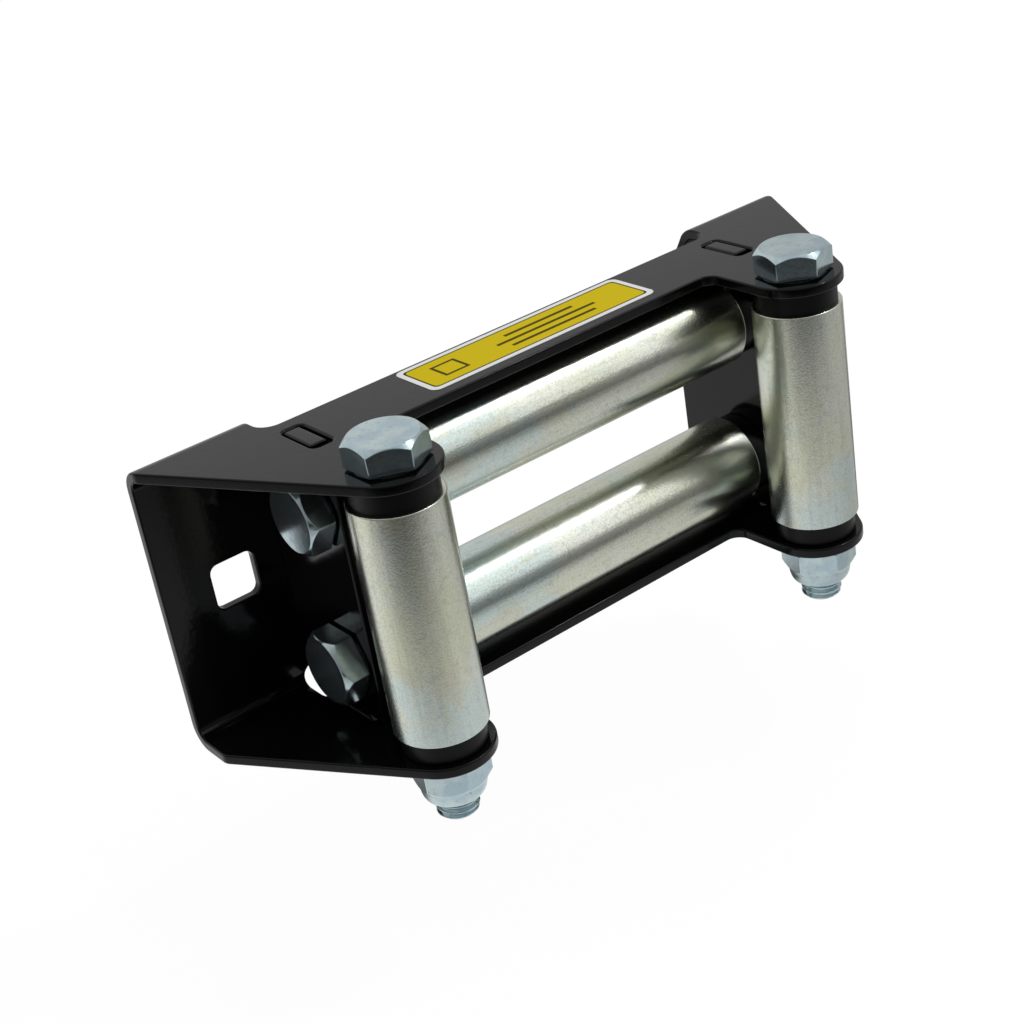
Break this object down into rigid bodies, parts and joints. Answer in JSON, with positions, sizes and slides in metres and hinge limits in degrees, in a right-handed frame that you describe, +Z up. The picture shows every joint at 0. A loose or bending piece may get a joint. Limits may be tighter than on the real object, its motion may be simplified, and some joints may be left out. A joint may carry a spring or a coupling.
{
  "type": "roller fairlead",
  "caption": "Folded steel frame with guide rollers on hexagon bolts, upright pair in front of a horizontal pair, that leads a winch rope in from any direction.",
  "frame": {"origin": "midway between the two square mounting holes, on the rear mounting face", "axes": "+X along the frame, towards the lock nuts of the horizontal rollers; +Y out of the mounting face, to the rear; +Z up, towards the heads of the upright bolts"},
  "size_m": [0.1886, 0.0593, 0.0929],
  "materials": {
    "black_paint": "gloss black powder coat",
    "zinc_tube": "zinc-plated steel tube, satin, faint yellow and blue passivation",
    "zinc_bolt": "bright zinc-plated steel, bluish passivation",
    "black_bushing": "moulded black nylon, satin",
    "nylon": "natural nylon, matt",
    "sticker": "printed vinyl label with no lettering, yellow with a white border"
  },
  "bodies": {
    "frame": {"frame": "black_paint", "left_side_plate": "black_paint", "right_side_plate": "black_paint", "left_roller_bolt": "zinc_bolt", "left_roller_nut": "zinc_bolt", "left_roller_nut_insert": "nylon", "right_roller_bolt": "zinc_bolt", "right_roller_nut": "zinc_bolt", "right_roller_nut_insert": "nylon", "upper_roller_bolt": "zinc_bolt", "upper_roller_nut": "zinc_bolt", "upper_roller_nut_insert": "nylon", "lower_roller_bolt": "zinc_bolt", "lower_roller_nut": "zinc_bolt", "lower_roller_nut_insert": "nylon"},
    "left_roller": {"left_roller_sleeve": "zinc_tube", "left_roller_top_bushing": "black_bushing", "left_roller_bottom_bushing": "black_bushing"},
    "right_roller": {"right_roller_sleeve": "zinc_tube", "right_roller_top_bushing": "black_bushing", "right_roller_bottom_bushing": "black_bushing"},
    "upper_roller": {"upper_roller_sleeve": "zinc_tube", "upper_roller_left_bushing": "black_bushing", "upper_roller_right_bushing": "black_bushing"},
    "lower_roller": {"lower_roller_sleeve": "zinc_tube", "lower_roller_left_bushing": "black_bushing", "lower_roller_right_bushing": "black_bushing"}
  },
  "joints": [
    {"name": "left_roller_spin", "type": "hinge", "parent": "frame", "child": "left_roller", "pos_m": [-0.0582, -0.048, 0], "axis": [0, 0, 1], "continuous": true},
    {"name": "right_roller_spin", "type": "hinge", "parent": "frame", "child": "right_roller", "pos_m": [0.0582, -0.048, 0], "axis": [0, 0, 1], "continuous": true},
    {"name": "upper_roller_spin", "type": "hinge", "parent": "frame", "child": "upper_roller", "pos_m": [0, -0.023, 0.019], "axis": [1, 0, 0], "continuous": true},
    {"name": "lower_roller_spin", "type": "hinge", "parent": "frame", "child": "lower_roller", "pos_m": [0, -0.023, -0.019], "axis": [1, 0, 0], "continuous": true}
  ]
}
